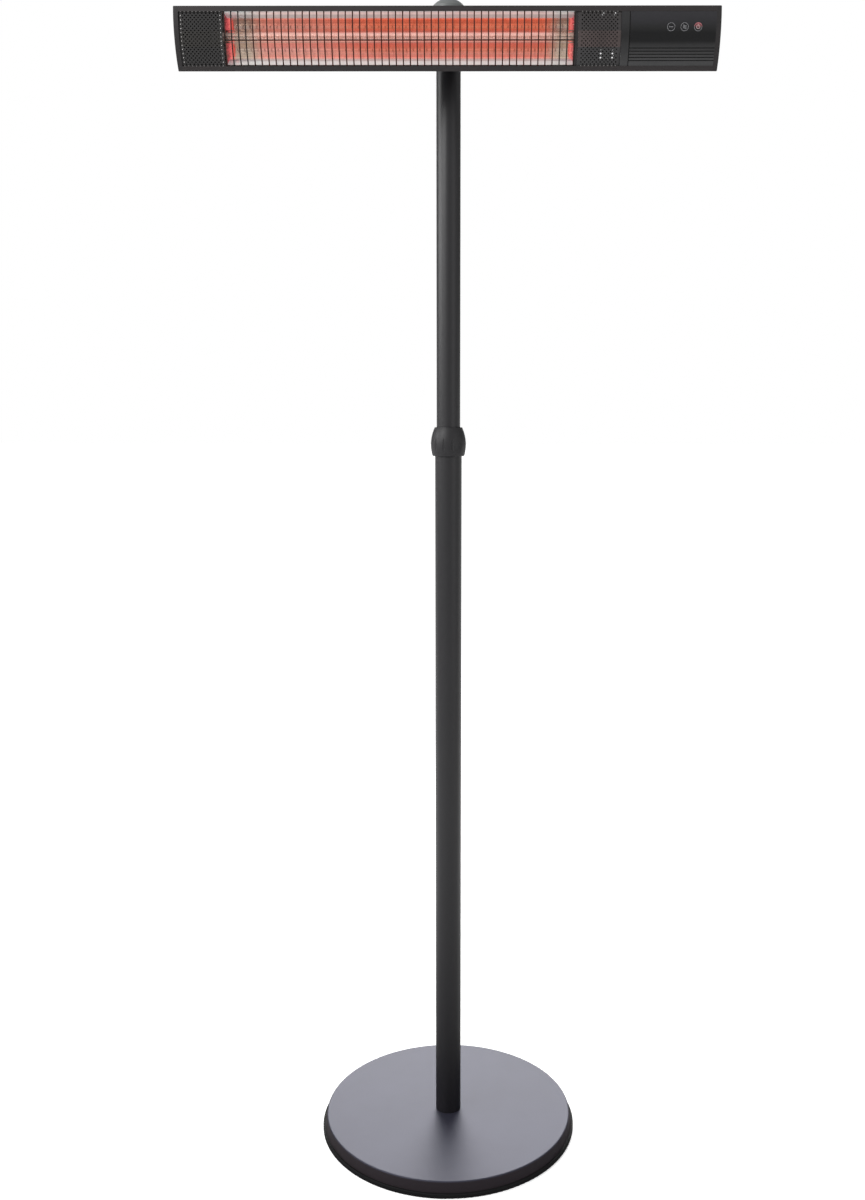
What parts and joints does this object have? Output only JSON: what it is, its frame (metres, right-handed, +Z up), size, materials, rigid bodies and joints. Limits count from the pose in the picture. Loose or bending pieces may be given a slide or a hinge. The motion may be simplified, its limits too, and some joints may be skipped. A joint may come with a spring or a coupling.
{
  "type": "infrared patio heater tower",
  "caption": "Free-standing infrared patio heater: weighted round base, telescopic mast with a twist collar, and a long tilting heater head with a wire guard.",
  "frame": {"origin": "centre of the round base's underside, on the floor", "axes": "+Z up along the mast, -Y the way the heater faces, +X to the right seen from the front"},
  "size_m": [0.8694, 0.488, 2.0687],
  "materials": {
    "pole_paint": "satin powder coat, dark grey",
    "base_paint": "satin fine-textured powder coat, mid grey",
    "base_rubber": "matt black rubber edging",
    "weight_iron": "rough painted casting",
    "base_plastic": "matt black moulding",
    "steel": "zinc-plated steel",
    "black_steel": "blackened screw",
    "collar_plastic": "matt dark grey moulding",
    "bush_plastic": "natural acetal",
    "glide_plastic": "black moulding",
    "socket_alloy": "painted die casting, dark grey",
    "cap_plastic": "satin mid-grey moulding",
    "casing_alloy": "extrusion with a satin black coat",
    "end_cap_plastic": "fine-grained dark moulding",
    "bracket_steel": "satin black coat",
    "knob_plastic": "matt black moulding",
    "guard_steel": "darkened steel wire",
    "mesh_steel": "satin black perforated sheet",
    "mirror_alloy": "polished bright sheet",
    "quartz": "clear quartz",
    "heater_core": "wound element, glowing when on",
    "ceramic": "white steatite",
    "bright_steel": "spring steel",
    "panel_plastic": "dark moulding with a soft sheen",
    "key_plastic": "smoked window",
    "key_lit": "red window, lit when on",
    "board": "laminate with solder mask",
    "relay_plastic": "blue relay case",
    "sink_alloy": "bare extrusion",
    "terminal_plastic": "natural polyamide",
    "gland_plastic": "black polyamide"
  },
  "bodies": {
    "stand": {"base_cover": "base_paint", "base_rim": "base_rubber", "base_weight": "weight_iron", "base_floor_plate": "base_plastic", "base_bolt": "steel", "base_washer": "steel", "mast_insert": "steel", "lower_pole": "pole_paint", "collar_ferrule": "glide_plastic"},
    "collar": {"height_collar": "collar_plastic"},
    "bush": {"clamp_bush": "bush_plastic"},
    "mast": {"upper_pole": "pole_paint", "upper_pole_glide": "glide_plastic", "tilt_socket": "socket_alloy", "socket_screws": "black_steel", "mast_cap": "cap_plastic"},
    "head": {"head_casing": "casing_alloy", "end_cap_left": "end_cap_plastic", "end_cap_right": "end_cap_plastic", "end_cap_screws": "black_steel", "head_bracket": "bracket_steel", "bracket_bolts": "steel", "pivot_bolt": "steel", "pivot_washer": "steel", "wire_guard": "guard_steel", "mesh_panel_left": "mesh_steel", "mesh_panel_right": "mesh_steel", "reflector": "mirror_alloy", "reflector_end_left": "mirror_alloy", "reflector_end_right": "mirror_alloy", "lamp_tube": "quartz", "lamp_core": "heater_core", "lamp_ceramics": "ceramic", "lamp_holder_left": "bright_steel", "lamp_holder_right": "bright_steel", "control_panel": "panel_plastic", "key_low": "key_plastic", "key_high": "key_plastic", "key_power": "key_lit", "control_board": "board", "relay": "relay_plastic", "heat_sink": "sink_alloy", "terminal_block": "terminal_plastic", "partition": "bright_steel", "cable_gland": "gland_plastic", "gland_locknut": "gland_plastic"},
    "knob": {"tilt_knob": "knob_plastic"}
  },
  "joints": [
    {"name": "collar_twist", "type": "hinge", "parent": "stand", "child": "collar", "pos_m": [0, 0, 1.31], "axis": [0, 0, 1], "range_deg": [0, 90]},
    {"name": "mast_swivel", "type": "hinge", "parent": "stand", "child": "bush", "pos_m": [0, 0, 1.318], "axis": [0, 0, 1], "range_deg": [-180, 180]},
    {"name": "mast_slide", "type": "slide", "parent": "bush", "child": "mast", "axis": [0, 0, 1], "range_m": [-0.45, 0.08]},
    {"name": "head_tilt", "type": "hinge", "parent": "mast", "child": "head", "pos_m": [0, -0.046, 1.994], "axis": [1, 0, 0], "range_deg": [-30, 30]},
    {"name": "tilt_knob_turn", "type": "hinge", "parent": "head", "child": "knob", "pos_m": [0, -0.046, 1.994], "axis": [1, 0, 0], "range_deg": [0, 360]}
  ]
}
